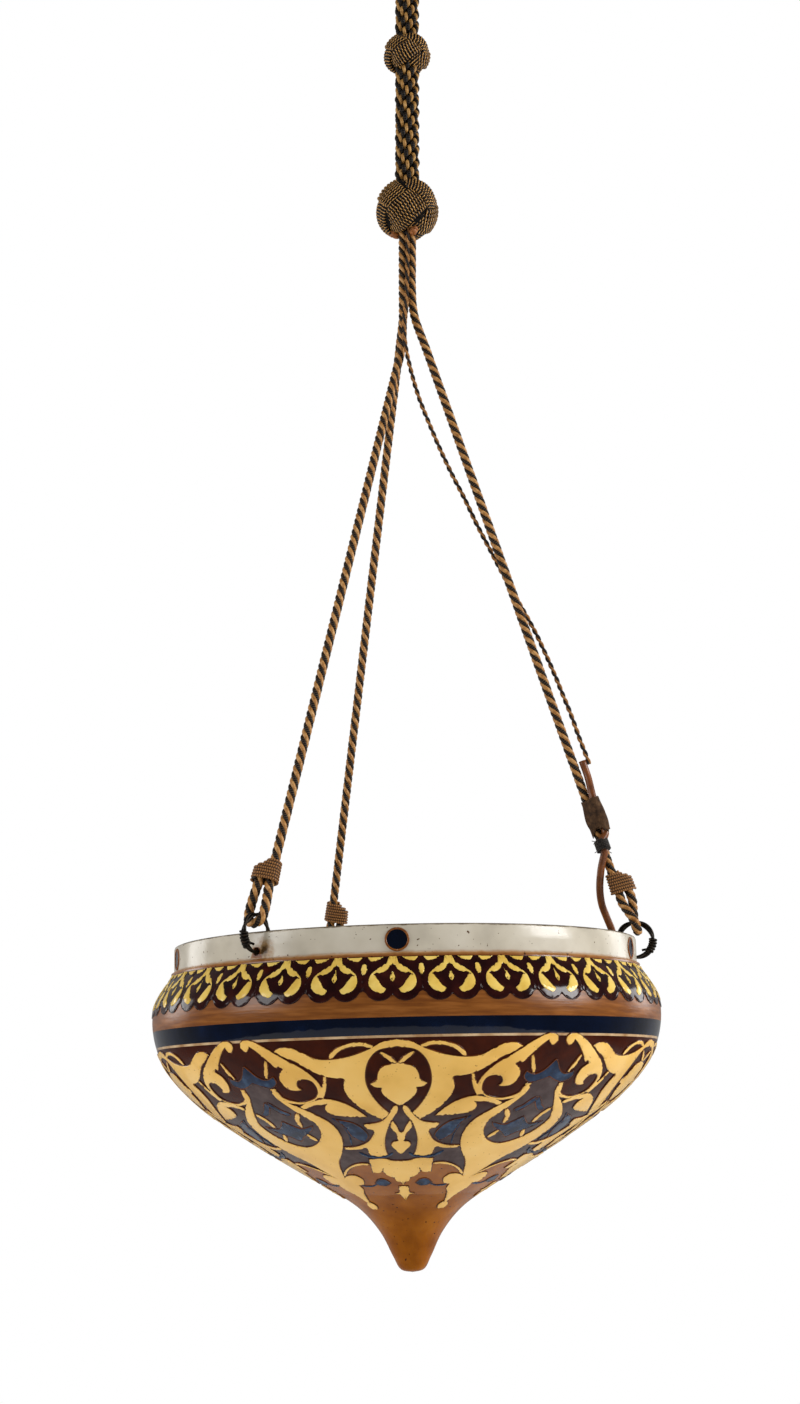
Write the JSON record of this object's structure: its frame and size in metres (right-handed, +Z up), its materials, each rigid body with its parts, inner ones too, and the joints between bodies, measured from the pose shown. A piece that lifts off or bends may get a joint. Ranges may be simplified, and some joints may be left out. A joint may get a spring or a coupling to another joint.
{
  "type": "pendant lamp",
  "caption": "Bowl-shaped pendant lamp hung by looped cords from a knotted rope, with its lampholder and bulb inside the bowl.",
  "frame": {"origin": "centre of the ceiling plate's top face, against the ceiling", "axes": "+Z up, -Y out of the lamp's front as pictured, +X to the right seen from the front"},
  "size_m": [0.3388, 0.3388, 1.0986],
  "materials": {
    "iron": "blackened, satin",
    "screw_steel": "dull",
    "brass": "aged, satin",
    "rope_thread": "two-ply cords laid into a rope, dark brown and gold",
    "cord_thread": "four-strand laid cord, dark brown and gold",
    "gimp_thread": "ribbed gimp, bronze gold on brown",
    "flex_cloth": "cloth-covered, twisted",
    "cloth_tape": "matt",
    "dark_thread": "wound, frayed",
    "glazed_earthenware": "painted under a glossy glaze, off-white rim",
    "iron_wire": "black annealed",
    "rubber": "smooth, orange brown",
    "turned_wood": "oiled",
    "moulded_shell": "black, moulded",
    "porcelain": "glazed",
    "solder": "dull",
    "black_glass": "moulded",
    "opal_glass": "opal, glossy"
  },
  "bodies": {
    "ceiling": {"ceiling_plate": "iron", "ceiling_screw_1": "screw_steel", "ceiling_screw_2": "screw_steel", "ceiling_screw_3": "screw_steel", "ceiling_hook": "iron"},
    "link": {"link_ring": "iron"},
    "pendant": {"rope_eye": "brass", "eye_nut": "brass", "rope_cup": "brass", "rope_strand_1": "rope_thread", "rope_strand_2": "rope_thread", "rope_strand_3": "rope_thread", "rope_strand_4": "rope_thread", "rope_strand_5": "rope_thread", "rope_strand_6": "rope_thread", "rope_core_flex": "flex_cloth", "collar_knot": "gimp_thread", "ball_knot": "gimp_thread", "bowl": "glazed_earthenware", "cord_left": "cord_thread", "cord_right": "cord_thread", "cord_back": "cord_thread", "whipping_left": "gimp_thread", "whipping_right": "gimp_thread", "whipping_back": "gimp_thread", "twisted_flex": "flex_cloth", "rubber_cable": "rubber", "tape_sleeve": "cloth_tape", "thread_binding": "dark_thread", "holder_tray": "turned_wood", "holder_nipple": "brass", "holder_locknut": "brass", "holder_cap": "moulded_shell", "holder_insert": "porcelain", "holder_skirt": "moulded_shell", "thread_sleeve": "brass", "centre_contact": "brass"},
    "ring_left": {"rim_ring_left": "iron_wire"},
    "ring_right": {"rim_ring_right": "iron_wire"},
    "ring_back": {"rim_ring_back": "iron_wire"},
    "bulb": {"bulb_contact": "solder", "bulb_insulator": "black_glass", "bulb_cap": "brass", "bulb_glass": "opal_glass"}
  },
  "joints": [
    {"name": "ring_swing", "type": "hinge", "parent": "ceiling", "child": "link", "pos_m": [0, 0, -0.059], "axis": [1, 0, 0], "range_deg": [-30, 30]},
    {"name": "eye_swing", "type": "hinge", "parent": "link", "child": "pendant", "pos_m": [0, 0, -0.08465], "axis": [0, 1, 0], "range_deg": [-30, 30]},
    {"name": "left_ring_slip", "type": "hinge", "parent": "pendant", "child": "ring_left", "pos_m": [-0.09327, -0.12572, -0.86664], "axis": [0.8088, -0.5878, 0.0184], "range_deg": [-25, 25]},
    {"name": "right_ring_slip", "type": "hinge", "parent": "pendant", "child": "ring_right", "pos_m": [0.15256, -0.01624, -0.86106], "axis": [0.1045, 0.9945, 0.0024], "range_deg": [-25, 25]},
    {"name": "back_ring_slip", "type": "hinge", "parent": "pendant", "child": "ring_back", "pos_m": [-0.05636, 0.14556, -0.86581], "axis": [-0.9364, -0.3502, -0.0213], "range_deg": [-25, 25]},
    {"name": "bulb_unscrew", "type": "hinge", "parent": "pendant", "child": "bulb", "pos_m": [0.00011, 0, -0.95565], "axis": [-0.0227, 0, 0.9997], "range_deg": [0, 1260]}
  ]
}
